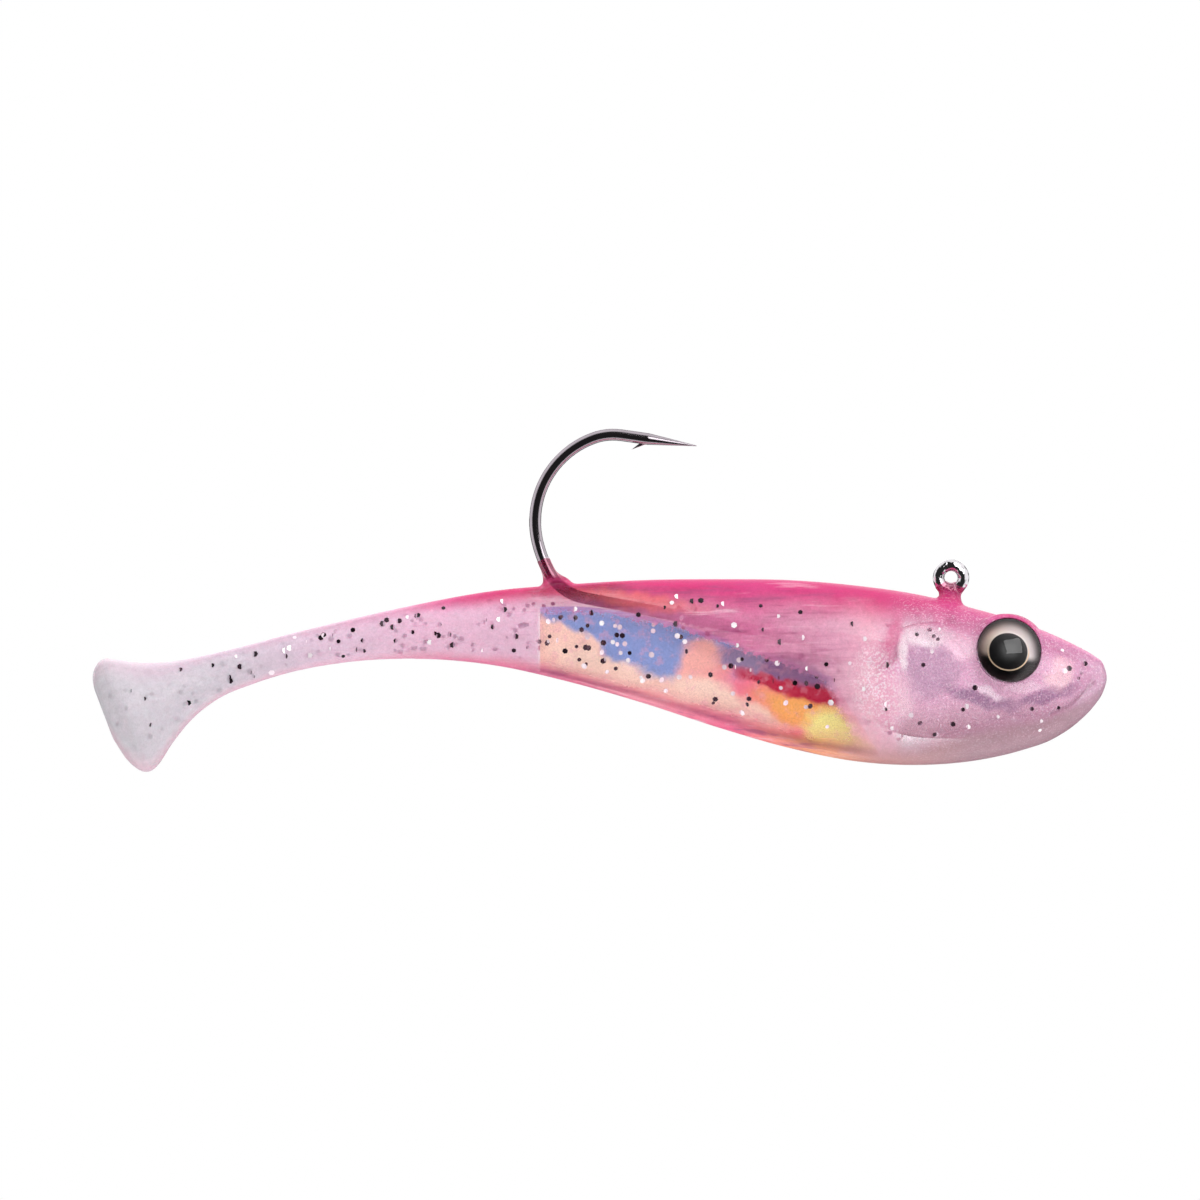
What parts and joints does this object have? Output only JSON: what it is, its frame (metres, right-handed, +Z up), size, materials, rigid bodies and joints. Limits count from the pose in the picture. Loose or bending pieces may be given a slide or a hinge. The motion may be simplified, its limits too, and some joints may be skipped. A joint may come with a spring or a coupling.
{
  "type": "swimbait",
  "caption": "Soft-bodied swimbait with a boot tail, moulded over a weighted jig hook with a line-tie ring on its back, a foil insert and domed eyes.",
  "frame": {"origin": "centre of the line-tie ring, in the bait's mid-plane", "axes": "+X towards the nose, +Z up out of the back, +Y to the bait's left and along the ring's hole"},
  "size_m": [0.1015, 0.013, 0.0344],
  "materials": {
    "soft_plastic": "clear pink plastisol with glitter, glossy",
    "hook_steel": "black nickel, bright nickel on the ring",
    "pearl_lead": "pearl white paint",
    "holographic_foil": "holographic film",
    "adhesive_foam": "matt foam tape",
    "printed_disc": "printed silver film with a black pupil",
    "clear_dome": "clear polyurethane"
  },
  "bodies": {
    "torso": {"soft_torso": "soft_plastic", "jig_hook": "hook_steel", "lead_head": "pearl_lead", "foil_insert": "holographic_foil", "left_eye_pad": "adhesive_foam", "left_eye_disc": "printed_disc", "left_eye_lens": "clear_dome", "right_eye_pad": "adhesive_foam", "right_eye_disc": "printed_disc", "right_eye_lens": "clear_dome"},
    "tail_root": {"tail_root": "soft_plastic"},
    "tail_middle": {"tail_middle": "soft_plastic"},
    "tail_stem": {"tail_stem": "soft_plastic"},
    "tail_paddle": {"tail_paddle": "soft_plastic"}
  },
  "joints": [
    {"name": "tail_root_bend", "type": "hinge", "parent": "torso", "child": "tail_root", "pos_m": [-0.0452, 0, -0.0051], "axis": [0, 0, 1], "range_deg": [-24, 24], "stiffness_Nm_per_rad": 0.003},
    {"name": "tail_middle_bend", "type": "hinge", "parent": "tail_root", "child": "tail_middle", "pos_m": [-0.0536, 0, -0.0054], "axis": [0, 0, 1], "range_deg": [-30, 30], "stiffness_Nm_per_rad": 0.0012},
    {"name": "tail_stem_bend", "type": "hinge", "parent": "tail_middle", "child": "tail_stem", "pos_m": [-0.062, 0, -0.0066], "axis": [0, 0, 1], "range_deg": [-36, 36], "stiffness_Nm_per_rad": 0.0007},
    {"name": "tail_paddle_bend", "type": "hinge", "parent": "tail_stem", "child": "tail_paddle", "pos_m": [-0.0702, 0, -0.0087], "axis": [0, 0, 1], "range_deg": [-40, 40], "stiffness_Nm_per_rad": 0.0005}
  ]
}
